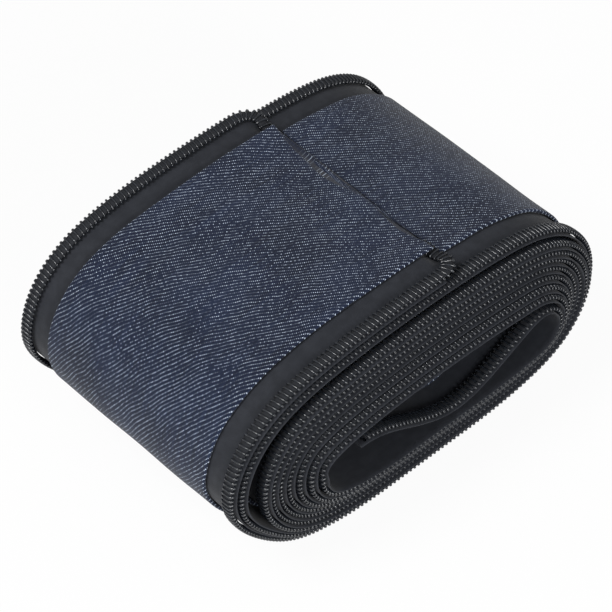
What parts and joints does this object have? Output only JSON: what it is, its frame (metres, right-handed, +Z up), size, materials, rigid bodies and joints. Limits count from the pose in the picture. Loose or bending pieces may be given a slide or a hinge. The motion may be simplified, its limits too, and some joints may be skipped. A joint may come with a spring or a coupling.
{
  "type": "welding cable cover",
  "caption": "Denim cable sleeve with a coil zip along each long edge, unzipped and wound flat into an oval roll.",
  "frame": {"origin": "on the surface the roll lies on, under the middle of its bounding box", "axes": "+X along the roll's long side, +Y across the strip from the near edge to the far edge, +Z up, out of the broad side it lies on"},
  "size_m": [0.1882, 0.1268, 0.0976],
  "materials": {
    "denim": "matt indigo twill with a pale weft fleck",
    "zip_tape": "matt black woven tape",
    "zip_coil": "dark grey nylon coil with a soft sheen"
  },
  "bodies": {
    "root": {"denim_strip": "denim", "zip_tape_near": "zip_tape", "zip_tape_far": "zip_tape", "zip_coil_near": "zip_coil", "zip_coil_far": "zip_coil"}
  },
  "joints": []
}
